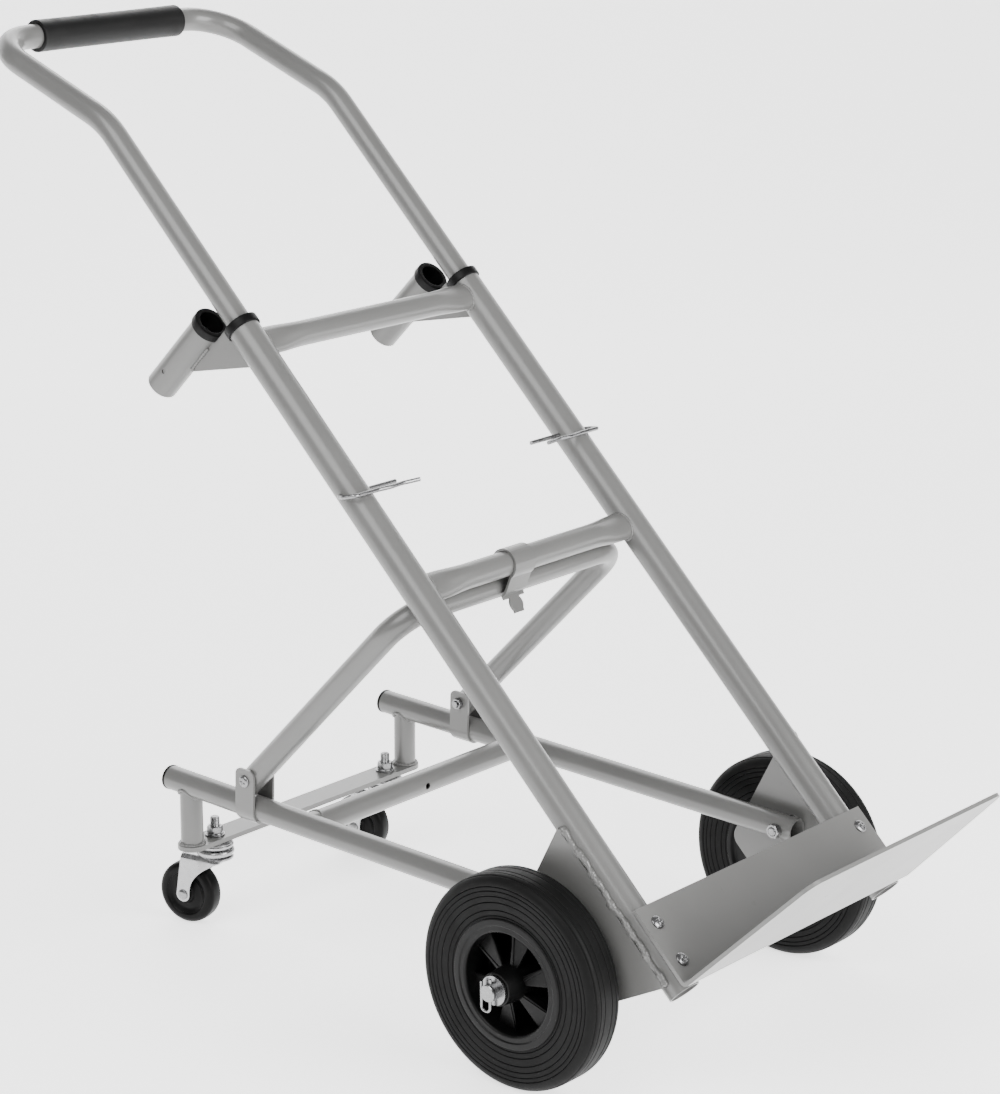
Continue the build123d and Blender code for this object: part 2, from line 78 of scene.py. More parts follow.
# shader expressions
class Sock:
    # Wraps a socket so that expressions on it add Math nodes.
    def __init__(self, tree, socket):
        self.tree = tree
        self.socket = socket

    def node(self, kind, settings=None, **inputs):
        made = self.tree.nodes.new(kind)
        for key, value in (settings or {}).items():
            setattr(made, key, value)
        for key, value in inputs.items():
            name = key.replace("_", " ")
            target = made.inputs[int(key[1:])] if key[1:].isdigit() else made.inputs[name]
            if isinstance(value, Sock):
                self.tree.links.new(value.socket, target)
            else:
                target.default_value = value
        return made

    def wrap(self, made, output=0):
        return Sock(self.tree, made.outputs[output])

    def maths(self, operation, first, second):
        return self.wrap(self.node("ShaderNodeMath", {"operation": operation}, i0=first, i1=second))

    def __add__(self, other):
        return self.maths("ADD", self, other)

    def __radd__(self, other):
        return self.maths("ADD", other, self)

    def __sub__(self, other):
        return self.maths("SUBTRACT", self, other)

    def __rsub__(self, other):
        return self.maths("SUBTRACT", other, self)

    def __mul__(self, other):
        return self.maths("MULTIPLY", self, other)

    def __rmul__(self, other):
        return self.maths("MULTIPLY", other, self)

    def mask(self, low, high):
        return self.wrap(self.node("ShaderNodeMapRange", {"interpolation_type": "SMOOTHSTEP"},
                                   Value=self, From_Min=low, From_Max=high))

    def mix(self, first, second):
        made = self.node("ShaderNodeMix", {"data_type": "RGBA"}, i0=self, i6=first, i7=second)
        return self.wrap(made, 2)


def blankMaterial(name, **fixed):
    material = bpy.data.materials.new(name)
    material.use_nodes = True
    tree = material.node_tree
    shader = tree.nodes["Principled BSDF"]
    for key, value in fixed.items():
        shader.inputs[key.replace("_", " ")].default_value = value
    place = Sock(tree, tree.nodes.new("ShaderNodeTexCoord").outputs["Object"])
    return material, tree, shader, place


def noise(place, scale, detail=3.0, rough=0.55):
    made = place.node("ShaderNodeTexNoise", None, Vector=place, Scale=scale, Detail=detail, Roughness=rough)
    return place.wrap(made)


def feed(tree, shader, **sockets):
    for key, value in sockets.items():
        tree.links.new(value.socket, shader.inputs[key.replace("_", " ")])


def bump(place, height, strength, distance):
    made = place.node("ShaderNodeBump", None, Strength=strength, Distance=distance, Height=height)
    return place.wrap(made)


def grey(value, tint=(1.0, 1.0, 1.0)):
    return (value * tint[0], value * tint[1], value * tint[2], 1.0)


paintLook = {"tint": (1.0, 0.995, 0.965), "peelScale": 900.0, "peelDepth": 0.00005, "cloudScale": 14.0}


def paintMaterial(name, tone, roughness):
    # Powder coat: orange-peel bump, soft clouding of the tone and a few dull rubs.
    material, tree, shader, place = blankMaterial(name, Metallic=0.0, Coat_Weight=0.3, Coat_Roughness=0.16)
    clouds = noise(place, paintLook["cloudScale"], 4.0)
    specks = noise(place, 420.0, 2.0).mask(0.66, 0.74)
    rubs = noise(place, 55.0, 5.0, 0.7).mask(0.64, 0.72)
    base = clouds.mix(grey(tone * 0.93, paintLook["tint"]), grey(tone * 1.07, paintLook["tint"]))
    base = (rubs * 0.25).mix(base, grey(tone * 0.72, paintLook["tint"]))
    base = (specks * 0.18).mix(base, grey(tone * 1.35, paintLook["tint"]))
    peel = noise(place, paintLook["peelScale"], 2.0)
    feed(tree, shader, Base_Color=base, Roughness=clouds * 0.12 + roughness - 0.06 + rubs * 0.12,
         Normal=bump(place, peel, 0.35, paintLook["peelDepth"]))
    return material


def rubberMaterial(name, tone, roughness, grainScale, grainDepth, gloss=0.3):
    # Black rubber: fine moulded grain, greyish dust in the open areas.
    material, tree, shader, place = blankMaterial(name, Metallic=0.0, Specular_IOR_Level=gloss)
    dust = noise(place, 35.0, 5.0, 0.65).mask(0.45, 0.75)
    grain = noise(place, grainScale, 3.0)
    base = (dust * 0.45).mix(grey(tone), grey(tone * 2.2, (1.0, 0.98, 0.95)))
    feed(tree, shader, Base_Color=base, Roughness=dust * 0.14 + grain * 0.08 + roughness,
         Normal=bump(place, grain, 0.5, grainDepth))
    return material


def zincMaterial(name, tone, roughness, streak):
    # Zinc plating: crystalline patches and drawn streaks over bright metal.
    material, tree, shader, place = blankMaterial(name, Metallic=1.0)
    cells = place.wrap(place.node("ShaderNodeTexVoronoi", None, Vector=place, Scale=260.0), 0)
    clouds = noise(place, 90.0, 4.0)
    dull = noise(place, 40.0, 5.0, 0.7).mask(0.5, 0.7)
    base = clouds.mix(grey(tone * 0.86, (1.0, 1.0, 1.02)), grey(tone * 1.06, (1.0, 1.0, 1.01)))
    base = (dull * 0.3).mix(base, grey(tone * 0.66, (1.0, 0.99, 0.95)))
    feed(tree, shader, Base_Color=base, Roughness=cells * 0.10 + dull * streak + roughness,
         Normal=bump(place, clouds, 0.15, 0.0002))
    return material


materials = {
    "painted_tube": paintMaterial("warmGreyTubePaint", 0.115, 0.34),
    "painted_plate": paintMaterial("warmGreyPlatePaint", 0.145, 0.38),
    "weld": paintMaterial("warmGreyWeldPaint", 0.11, 0.36),
    "black_plastic": rubberMaterial("blackEndRingPlastic", 0.002, 0.36, 700.0, 0.00006, 0.14),
    "grip_rubber": rubberMaterial("blackGripRubber", 0.003, 0.42, 500.0, 0.00004, 0.22),
    "tyre_rubber": rubberMaterial("blackTyreRubber", 0.0025, 0.50, 380.0, 0.00018, 0.12),
    "hub_plastic": rubberMaterial("blackHubPlastic", 0.0025, 0.34, 800.0, 0.00005, 0.16),
    "castor_rubber": rubberMaterial("blackCastorRubber", 0.002, 0.32, 600.0, 0.00005, 0.10),
    "castor_plastic": rubberMaterial("blackCastorHub", 0.002, 0.36, 700.0, 0.00005, 0.10),
    "bearing_steel": zincMaterial("bearingSteel", 0.20, 0.30, 0.15),
    "zinc_pressing": zincMaterial("brightZincPressing", 0.36, 0.20, 0.18),
    "zinc_hardware": zincMaterial("zincHardware", 0.26, 0.22, 0.22),
}


# surfaces from arrays
def gridFaces(rows, columns, wrapRows, wrapColumns):
    # Quads of a grid, joined round where a direction closes on itself.
    i = np.arange(rows if wrapRows else rows - 1)
    j = np.arange(columns if wrapColumns else columns - 1)
    i, j = np.meshgrid(i, j, indexing="ij")
    i, j = i.ravel(), j.ravel()
    nextI, nextJ = (i + 1) % rows, (j + 1) % columns
    return np.stack([i * columns + j, nextI * columns + j, nextI * columns + nextJ, i * columns + nextJ], 1)


def piece(name, surfaces, slot, body, replaces=(), material=None, sharp=38.0):
    # Joins grids into one mesh object; each surface is (points, faces).
    points = np.concatenate([surface[0] for surface in surfaces])
    starts = np.cumsum([0] + [len(surface[0]) for surface in surfaces[:-1]])
    faces = np.concatenate([surface[1] + start for surface, start in zip(surfaces, starts)])
    mesh = bpy.data.meshes.new(name)
    mesh.from_pydata(points.tolist(), [], faces.tolist())
    work = bmesh.new()
    work.from_mesh(mesh)
    bmesh.ops.remove_doubles(work, verts=work.verts, dist=2e-6)
    bmesh.ops.dissolve_degenerate(work, edges=work.edges, dist=1e-6)
    bmesh.ops.recalc_face_normals(work, faces=work.faces)
    work.to_mesh(mesh)
    work.free()
    mesh.shade_smooth()
    mesh.set_sharp_from_angle(angle=math.radians(sharp))
    made = bpy.data.objects.new(name, mesh)
    bpy.context.scene.collection.objects.link(made)
    mesh.materials.append(material or materials[slot])
    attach(made, body)
    if replaces:
        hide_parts(*replaces)
    return made


def frameOf(axis):
    # Two unit directions square to an axis.
    axis = np.array(axis, float) / np.linalg.norm(axis)
    helper = upWay if abs(axis[2]) < 0.9 else xWay
    first = np.cross(helper, axis)
    first /= np.linalg.norm(first)
    return axis, first, np.cross(axis, first)


def lathe(profile, centre, axis, turns, closed=False):
    # Profile of (distance along, radius) in mm turned about an axis.
    profile = np.array(profile, float) * mm
    axis, first, second = frameOf(axis)
    angle = np.linspace(0, 2 * math.pi, turns, endpoint=False)
    ring = np.outer(np.cos(angle), first) + np.outer(np.sin(angle), second)
    points = np.array(centre) + profile[:, None, :1] * axis + profile[:, None, 1:] * ring[None]
    return points.reshape(-1, 3), gridFaces(len(profile), turns, closed, True)


def softened(corners, radius, steps=4, closed=False):
    # Polyline with each corner replaced by a quadratic curve; radius may be a list.
    corners = np.array(corners, float)
    count = len(corners)
    radii = np.full(count, radius, float) if np.isscalar(radius) else np.array(radius, float)
    before, after = np.roll(corners, 1, 0), np.roll(corners, -1, 0)
    toBefore, toAfter = before - corners, after - corners
    lengthBefore = np.linalg.norm(toBefore, axis=1)
    lengthAfter = np.linalg.norm(toAfter, axis=1)
    cut = np.minimum(radii, 0.49 * np.minimum(lengthBefore, lengthAfter))[:, None]
    start = corners + toBefore / np.maximum(lengthBefore, 1e-9)[:, None] * cut
    end = corners + toAfter / np.maximum(lengthAfter, 1e-9)[:, None] * cut
    t = np.linspace(0, 1, steps + 1)[None, :, None]
    curve = (1 - t) ** 2 * start[:, None] + 2 * t * (1 - t) * corners[:, None] + t ** 2 * end[:, None]
    if not closed:
        curve[0] = corners[0]
        curve[-1] = corners[-1]
    return curve.reshape(-1, corners.shape[1])


def tubeAlong(path, radius, reference, sides):
    # Round section carried along a path; the radius may vary.
    path = np.array(path, float)
    radius = np.broadcast_to(np.array(radius, float) * mm, (len(path),)).copy()
    way = np.gradient(path, axis=0)
    way /= np.linalg.norm(way, axis=1)[:, None]
    normal = reference - (way @ reference)[:, None] * way
    normal /= np.linalg.norm(normal, axis=1)[:, None]
    other = np.cross(way, normal)
    angle = np.linspace(0, 2 * math.pi, sides, endpoint=False)
    section = np.cos(angle)[None, :, None] * normal[:, None] + np.sin(angle)[None, :, None] * other[:, None]
    points = path[:, None] + radius[:, None, None] * section
    return points.reshape(-1, 3), gridFaces(len(path), sides, False, True)


weldLook = {"step": 1.0, "rippleLength": 4.2, "ripple": 0.26, "small": 1.7, "sockets": 2.3, "gussets": 2.0,
            "plates": 4.0, "plateRipple": 0.08, "stud": 2.4, "cross": 2.2, "brackets": 1.5}


def bead(path, reference, radius, closed=False, ripple=weldLook["ripple"]):
    # Weld bead: a thin tube whose radius swells once each ripple and fades at open ends.
    path = np.array(path, float)
    run = np.concatenate([[0], np.cumsum(np.linalg.norm(np.diff(path, axis=0), axis=1))]) / mm
    count = max(int(run[-1] / weldLook["step"]), 8)
    spots = np.linspace(0, run[-1], count)
    fine = np.stack([np.interp(spots, run, path[:, k]) for k in range(3)], 1)
    swell = 1 + ripple * (np.abs(np.sin(spots * math.pi / weldLook["rippleLength"])) - 0.5)
    wander = 1 + 0.16 * np.sin(spots * 0.19) + 0.10 * np.sin(spots * 0.47 + 1.0)
    fade = 1.0 if closed else np.clip(np.minimum(spots, run[-1] - spots) / 2.5, 0, 1) ** 0.5
    return tubeAlong(fine, radius * swell * wander * fade + (0.0 if closed else 1e-4), reference, 8)


def line(start, end):
    return np.linspace(start, end, 40)


print("surfaces and materials ready")


# main wheels
wheelLook = {"grooves": (78.5, 85.0, 94.0, 101.0, 107.0, 112.0), "grooveDepth": 1.1, "grooveWidth": 0.5,
             "treadGrooves": (6.0, 13.0, 19.0), "sideBulge": 1.6, "shoulder": 12.0,
             "spokes": 6, "firstSpoke": 20.0, "spokeRoot": 4.5, "spokeSpread": 14.0, "rib": 1.6, "recess": 59.0,
             "barrel": 17.0, "hubRadius": 76.0}


def tyreProfile(outer, inner, half):
    # Closed half-section: flat-crowned tread, round shoulders, side walls ringed by fine grooves.
    shoulder = wheelLook["shoulder"]
    side = np.arange(inner, outer - shoulder, 0.3)
    bulge = wheelLook["sideBulge"] * np.sin((side - inner) / (outer - shoulder - inner) * math.pi / 2)
    wall = np.stack([half - wheelLook["sideBulge"] + bulge, side], 1)
    turn = np.linspace(0, math.pi / 2, 40)
    corner = np.stack([half - shoulder + shoulder * np.cos(turn),
                       outer - shoulder + shoulder * np.sin(turn)], 1)
    width = np.linspace(half - shoulder, 0, 50)[1:]
    tread = np.stack([width, np.full(len(width), outer)], 1)
    right = np.concatenate([wall, corner, tread])
    grooveWidth, depth = wheelLook["grooveWidth"], wheelLook["grooveDepth"]
    across, radius = right[:, 0], right[:, 1]
    cuts = sum(np.exp(-((radius - groove) / grooveWidth) ** 2) for groove in wheelLook["grooves"])
    across -= depth * cuts * (across > half - shoulder)
    cuts = sum(np.exp(-((across - groove) / grooveWidth) ** 2) for groove in wheelLook["treadGrooves"])
    radius -= depth * cuts * (radius > outer - shoulder * 0.6)
    leftHalf = right[::-1][1:] * [-1, 1]
    return np.concatenate([right, leftHalf])


def spokeBlade(centre, axis, angle, halfWidth, high, low, offset=0.0):
    # Bar from barrel to rim with a rounded square section; its half width, the heights of its two faces
    # and its sideways offset change evenly from root to tip.
    axis, first, second = frameOf(axis)
    radial = math.cos(angle) * first + math.sin(angle) * second
    across = np.cross(axis, radial)
    s = np.linspace(0, 1, 14)[:, None]
    turn = np.linspace(0, 2 * math.pi, 24, endpoint=False)[None]
    ends = [np.interp(s, [0, 1], pair) for pair in (halfWidth, high, low, (0, offset))]
    squareCos = np.sign(np.cos(turn)) * np.abs(np.cos(turn)) ** 0.25
    squareSin = np.sign(np.sin(turn)) * np.abs(np.sin(turn)) ** 0.25
    height = (ends[1] + ends[2]) / 2 + (ends[1] - ends[2]) / 2 * squareCos
    side = ends[3] + ends[0] * squareSin
    root, tip = wheelLook["barrel"], wheelLook["recess"] + 0.6
    radius = root + (tip - root) * s + 0 * turn
    offset = height[..., None] * axis + side[..., None] * across + radius[..., None] * radial
    points = np.array(centre) + mm * offset
    return points.reshape(-1, 3), gridFaces(14, 24, False, True)


def makeWheels():
    # Hub section: rim under the tyre, dish, long barrel and its back face.
    recess, seat = wheelLook["recess"], wheelLook["hubRadius"]
    corners = [(-24, seat), (23.6, seat), (25.6, 75), (25.9, 68), (24.6, 67), (25.2, recess + 2), (23, recess),
               (-14, recess - 1), (-14, 24), (-6, 22), (22, 21), (42.4, 19.2), (42.4, 16), (-24.4, 16),
               (-24.4, 21), (-18, 23), (-18, 68), (-24, 71)]
    rounding = [0.8, 0.8, 1.2, 0.8, 0.8, 1.5, 1.6, 3, 3, 4, 3, 1.4, 0.5, 0.5, 1, 3, 3, 1]
    hubShape = softened(corners, rounding, 4, True)
    rib, root, spread = wheelLook["rib"], wheelLook["spokeRoot"], wheelLook["spokeSpread"]
    for side, sign in sideSign.items():
        centre = np.array(joints[f"wheel_{side}_spin"]["pos_m"], float)
        body = f"wheel_{side}"
        low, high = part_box(f"tyre_{side}")
        half = (high[0] - low[0]) / 2 / mm
        outer = (high[2] - low[2]) / 2 / mm
        out = xWay * sign
        tyre = lathe(tyreProfile(outer, seat, half), centre, out, 144, True)
        piece(f"grooved_tyre_{side}", [tyre], "tyre_rubber", body, [f"tyre_{side}"], sharp=60.0)
        blades = []
        for k in range(wheelLook["spokes"]):
            angle = math.radians(360 / wheelLook["spokes"] * k + wheelLook["firstSpoke"])
            blades.append(spokeBlade(centre, out, angle, (root, spread), (17, 9), (12, 3)))
            blades.append(spokeBlade(centre, out, angle, (rib, rib), (18, 10.5), (-14, -14), spread - 1.4))
        rim = lathe(hubShape, centre, out, 96, True)
        piece(f"spoked_hub_{side}", [rim, *blades], "hub_plastic", body, [f"hub_{side}"], sharp=32.0)


makeWheels()
print("main wheels made")


# crossbars and welds
barLook = {"flattenOver": 58.0, "tall": 18.0, "thin": 11.0}


def crossbar(name, along, node):
    # Tube whose section goes from round in the middle to a tall flat oval at each rail.
    gap, railRadius, tube = layout["railGap"], layout["railRadius"], layout["tubeRadius"]
    turn = np.linspace(0, 2 * math.pi, 48, endpoint=False)[None]
    s = np.linspace(-1, 1, 90)[:, None]
    s = np.sign(s) * np.abs(s) ** 0.8
    fromEnd = (1 - np.abs(s)) * gap
    blend = np.clip(1 - (fromEnd - 14) / barLook["flattenOver"], 0, 1)
    blend = blend * blend * (3 - 2 * blend)
    tall = tube + (barLook["tall"] - tube) * blend
    thin = tube + (barLook["thin"] - tube) * blend
    up, back = tall * np.cos(turn), thin * np.sin(turn)
    reach = gap - np.sqrt(railRadius ** 2 - back ** 2) + 0.6
    offset = (s * reach)[..., None] * xWay + up[..., None] * railWay + back[..., None] * behindWay
    points = at(along, 0) + mm * offset
    caps = at(along, 0) + mm * np.array([-1, 1])[:, None] * (gap - railRadius + 3) * xWay
    ringed = np.concatenate([np.repeat(caps[:1, None], 48, 1), points, np.repeat(caps[1:, None], 48, 1)])
    surface = (ringed.reshape(-1, 3), gridFaces(92, 48, False, True))
    piece(name, [surface], "painted_tube", "main_frame", [node])


def saddle(centre, outWay, upDirection, backDirection, tall, thin, gap, tubeRadius):
    # Closed curve where a cross tube meets the side of a round tube.
    turn = np.linspace(0, 2 * math.pi, 60)
    up, back = tall * np.cos(turn), thin * np.sin(turn)
    reach = gap - np.sqrt(tubeRadius ** 2 - back ** 2)
    return centre + mm * (reach[:, None] * outWay + up[:, None] * upDirection + back[:, None] * backDirection)


def makeCrossbars():
    crossbar("crossbar_upper_tube", layout["crossbarUpper"], "crossbar_upper")
    crossbar("crossbar_middle_tube", layout["crossbarMiddle"], "crossbar_middle")
    gap, railRadius = layout["railGap"], layout["railRadius"]
    tall, thin = barLook["tall"], barLook["thin"]
    beads = []
    for sign in sideSign.values():
        out = xWay * sign
        for along in (layout["crossbarUpper"], layout["crossbarMiddle"]):
            path = saddle(at(along, 0), out, railWay, behindWay, tall, thin, gap, railRadius)
            beads.append(bead(path, out, weldLook["small"], True))
        # the long bead beside each wheel plate wanders about its line on two sine waves
        along = np.linspace(14, 223, 160)
        wave = -1.8 + 1.0 * np.sin(along * 0.17) + 0.8 * np.sin(along * 0.071 + sign)
        x = np.full(len(along), sign * (gap + railRadius + 1.6))
        path = footAt + mm * (along[:, None] * railWay + wave[:, None] * behindWay + x[:, None] * xWay)
        beads.append(bead(path, xWay, weldLook["plates"], False, weldLook["plateRipple"]))
        for offset in (-2.8, 2.8):
            face = sign * gap + offset
            underSocket = line(at(934.2, 60, face), at(934.2, 103, face))
            behindRail = line(at(864, railRadius, face), at(909, railRadius, face))
            beads.append(bead(underSocket, xWay, weldLook["sockets"]))
            beads.append(bead(behindRail, xWay, weldLook["gussets"]))
    piece("frame_welds", beads, "painted_tube", "main_frame", material=materials["weld"], sharp=80.0)


makeCrossbars()
print("crossbars and frame welds made")


# plastic end rings and caps
def makeRings():
    # Ring section: skirt outside the tube, lip over its end, sleeve inside it.
    corners = [(-9, 19.05), (-9, 21.2), (2, 21.2), (2, 15.3),
               (-22, 15.3), (-22, 16.95), (-0.6, 16.95), (-0.6, 19.05)]
    ringShape = softened(corners, [0.3, 0.9, 1.6, 1.0, 0.3, 0.3, 0.2, 0.2], 4, True)
    for side, sign in sideSign.items():
        x = sign * layout["railGap"]
        ends = {"rail": (at(layout["railLength"], 0, x), railWay),
                "socket": (at(layout["socketAlong"], layout["socketMouth"], x), -behindWay)}
        for kind, (place, way) in ends.items():
            ring = lathe(ringShape, place, way, 64, True)
            piece(f"{kind}_end_ring_{side}", [ring], "black_plastic", "main_frame", [f"{kind}_collar_{side}"],
                  sharp=50.0)
    corners = [(-12, 0), (-12, 12.9), (0, 12.9), (0, 15.4), (4, 15.4), (4, 0)]
    capShape = softened(corners, [0, 0.5, 0.2, 0.6, 1.5, 0], 5)
    tubeEnd = pivotAt + slopeWay * layout["tubeEnd"] * mm
    caps = [lathe(capShape, tubeEnd + xWay * sign * layout["castorGap"] * mm, slopeWay, 56)
            for sign in sideSign.values()]
    piece("castor_tube_plugs", caps, "black_plastic", "castor_frame", ["castor_tube_caps"], sharp=50.0)


makeRings()


# grip
gripLook = {"radius": 20.0, "bore": 15.1, "flare": 0.35, "rounding": 2.2}


def makeGrip():
    # Sleeve turned about the handle's top bar, with rounded mouths and a very slight waist.
    low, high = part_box("handle_grip")
    centre = (np.array(low) + np.array(high)) / 2
    half = (high[0] - low[0]) / 2 / mm
    u = np.linspace(-1, 1, 40)
    radius, bore, rounding = gripLook["radius"], gripLook["bore"], gripLook["rounding"]
    outside = np.stack([u * (half - rounding), radius - gripLook["flare"] * (1 - u ** 4)], 1)
    mouth = softened([(half - rounding, radius), (half, radius), (half, bore + 0.2)], [0, rounding, 0], 6)
    inside = np.array([(half, bore), (half - 8, bore), (-half + 8, bore)])
    otherMouth = mouth[::-1] * [-1, 1]
    profile = np.concatenate([outside, mouth[1:], inside, otherMouth[:-1]])
    sleeve = lathe(profile, centre, xWay, 80, True)
    piece("handle_grip_sleeve", [sleeve], "grip_rubber", "handle", ["handle_grip"])


makeGrip()
print("plastic rings and grip made")


# fasteners
def crossHead(centre, axis, radius, height, shankRadius, shankLength, recess, turn):
    # Domed head, lowered by the recess where the nearer arm of a cross is close and the edge is far;
    # a plain shank is behind it.
    rings = np.linspace(0, 1, 22) ** 0.9
    angle = np.linspace(0, 2 * math.pi, 72, endpoint=False)
    rho, theta = np.meshgrid(rings, angle, indexing="ij")
    dome = height * np.sqrt(np.maximum(1 - (0.93 * rho) ** 2.6, 0))
    arm = radius * rho
    cross = np.minimum(np.abs(np.sin(theta + turn)), np.abs(np.cos(theta + turn))) * arm
    slot = (1 / (1 + np.exp((cross - 0.95) * 7))) * (1 / (1 + np.exp((arm - 0.55 * radius) * 5)))
    dome = dome - recess * slot
    axis, first, second = frameOf(axis)
    ring = np.cos(theta)[..., None] * first + np.sin(theta)[..., None] * second
    top = np.array(centre) + mm * (dome[..., None] * axis + arm[..., None] * ring)
    underShape = [(0, radius), (0, shankRadius), (-shankLength, shankRadius), (-shankLength, 0)]
    under = lathe(underShape, centre, axis, 72)
    edge = np.concatenate([top[-1], np.array(centre) + mm * radius * ring[-1]])
    skirt = (edge, gridFaces(2, 72, False, True))
    return [(top.reshape(-1, 3), gridFaces(22, 72, False, True)), skirt, under]


def hexNut(centre, axis, flats, height, bore, phase=0.0):
    # Hexagon whose corners are turned down at both faces: radius is the smaller of hexagon and cone.
    axis, first, second = frameOf(axis)
    angle = np.linspace(0, 2 * math.pi, 72, endpoint=False) + phase
    wedge = np.mod(angle, math.pi / 3) - math.pi / 6
    hexagon = flats / 2 / np.cos(wedge)
    face, lip, uncut, mouth = flats / 2 - 0.1, flats / 2 + 0.75, flats, bore + 0.8
    z = np.array([0, 0, 0.6, 1.3, height / 2, height - 1.3, height - 0.6, height, height, height - 0.8, 0.8, 0])
    cone = np.array([mouth, face, lip, uncut, uncut, uncut, lip, face, mouth, bore, bore, mouth])
    radius = np.minimum(cone[:, None], hexagon[None])
    ring = np.cos(angle)[:, None] * first + np.sin(angle)[:, None] * second
    points = np.array(centre) + mm * (z[:, None, None] * axis + radius[..., None] * ring[None])
    return points.reshape(-1, 3), gridFaces(len(z), 72, True, True)


def thread(centre, axis, radius, length, pitch=1.75):
    # Rod with a helical groove: the radius follows the height less the turn.
    axis, first, second = frameOf(axis)
    z = np.linspace(0, length, int(length / pitch * 8))
    angle = np.linspace(0, 2 * math.pi, 40, endpoint=False)
    height, theta = np.meshgrid(z, angle, indexing="ij")
    wave = np.abs(np.mod(height / pitch - theta / (2 * math.pi), 1) * 2 - 1)
    taper = np.clip((length - height) / 1.2, 0.0, 1) * 0.9
    grown = radius - 0.55 * wave - (0.9 - taper)
    ring = np.cos(theta)[..., None] * first + np.sin(theta)[..., None] * second
    points = np.array(centre) + mm * (height[..., None] * axis + grown[..., None] * ring)
    top = np.repeat((np.array(centre) + mm * length * axis)[None, None], 40, 1)
    base = np.repeat(np.array(centre)[None, None], 40, 1)
    allPoints = np.concatenate([base, points, top]).reshape(-1, 3)
    return allPoints, gridFaces(len(z) + 2, 40, False, True)


def washer(centre, axis, outer, inner, thick):
    shape = softened([(0, inner), (0, outer), (thick, outer), (thick, inner)], 0.35, 3, True)
    return lathe(shape, centre, axis, 64, True)


def makeFasteners():
    toe, toeNuts, bolts, boltNuts, pivots, pivotNuts = [], [], [], [], [], []
    shankShape = softened([(0, 0), (0, 4.95), (-46.6, 4.95), (-47.6, 4.2), (-47.6, 0)], 0.3)
    for number, sign in enumerate(sideSign.values()):
        out = xWay * sign
        x = sign * layout["railGap"]
        for height in (29.0, 77.0):
            toe += crossHead(at(height, -23.5, x), -behindWay, 8.0, 3.4, 3.9, 52, 1.5, 0.4 + height)
            toeNuts.append(hexNut(at(height, 19.1, x), behindWay, 13, 6.4, 4.0))
        castorX = xWay * sign * layout["castorGap"] * mm
        bolts += crossHead(strutBoltAt + castorX + out * 18 * mm, out, 7.5, 3.9, 3.95, 45, 1.5, 0.3 + number)
        boltNuts.append(hexNut(strutBoltAt + castorX - out * 18 * mm, -out, 13, 6.4, 4.0, 0.2))
        face = pivotAt + out * (layout["railGap"] + layout["railRadius"] + 5) * mm
        pivots.append(hexNut(face, out, 16, 5, 0.01))
        pivots.append(lathe(shankShape, face, out, 40))
        inner = pivotAt + out * (layout["castorGap"] - layout["tubeRadius"] - 0.5) * mm
        pivotNuts.append(hexNut(inner, -out, 16, 8, 5.0, 0.3))
    piece("toe_plate_cross_screws", toe, "zinc_hardware", "main_frame", ["toe_plate_screws"], sharp=45.0)
    piece("toe_plate_hex_nuts", toeNuts, "zinc_hardware", "main_frame", ["toe_plate_nuts"], sharp=30.0)
    piece("bracket_cross_bolts", bolts, "zinc_hardware", "castor_frame", ["bracket_bolts"], sharp=45.0)
    piece("bracket_hex_nuts", boltNuts, "zinc_hardware", "castor_frame", ["bracket_nuts"], sharp=30.0)
    piece("pivot_hex_bolts", pivots, "zinc_hardware", "main_frame", ["pivot_bolts"], sharp=30.0)
    piece("pivot_hex_nuts", pivotNuts, "zinc_hardware", "main_frame", ["pivot_nuts"], sharp=30.0)


makeFasteners()
print("fasteners made")


# castors
castorLook = {"stud": 155.9, "studTop": 145.0, "barTop": 121.0, "capBottom": 105.0, "crown": 92.0,
              "wheelRadius": 40.0, "trail": 38.0, "legInner": 15.5, "legEnd": 9.5, "sheet": 2.5, "nose": 22.6}


def castorFork(base, trailWay, across):
    # Bent sheet: a strip runs up one leg, over the crown and down the other; its width follows the height.
    # The leg ends are round about the axle; above it the front edge sweeps to the nose of the crown.
    half = castorLook["legInner"] + castorLook["sheet"] / 2
    crownZ = castorLook["crown"] + castorLook["sheet"] / 2
    axleZ, trailBy, end = castorLook["wheelRadius"], castorLook["trail"], castorLook["legEnd"]
    corners = [(-half, axleZ - end), (-half, crownZ), (half, crownZ), (half, axleZ - end)]
    path = softened(corners, [0, 7, 7, 0], 10)
    run = np.concatenate([[0], np.cumsum(np.linalg.norm(np.diff(path, axis=0), axis=1))])
    spots = np.concatenate([np.linspace(0, end, 10), np.linspace(end, run[-1] - end, 90)[1:-1],
                            np.linspace(run[-1] - end, run[-1], 10)])
    a = np.interp(spots, run, path[:, 0])
    z = np.interp(spots, run, path[:, 1])
    rise = np.clip((z - axleZ) / (crownZ - axleZ - 4), 0, 1)
    sweep = rise ** 2.4
    front = (trailBy - end) * (1 - sweep) - np.sqrt(castorLook["nose"] ** 2 - a ** 2) * sweep
    back = trailBy + end - 7 * rise
    bottom = np.clip((axleZ - z) / end, 0, 1)
    width = np.sqrt(np.maximum(1 - bottom ** 2, 0.0))
    front = trailBy + (front - trailBy) * np.where(z < axleZ, width, 1)
    back = trailBy + (back - trailBy) * np.where(z < axleZ, width, 1)
    v = np.linspace(0, 1, 14)[None]
    trail = front[:, None] + (back - front)[:, None] * v
    height = z[:, None] + 0 * v
    points = base + mm * (a[:, None, None] * across + trail[..., None] * trailWay + height[..., None] * upWay)
    return points.reshape(-1, 3), gridFaces(len(spots), 14, False, False)


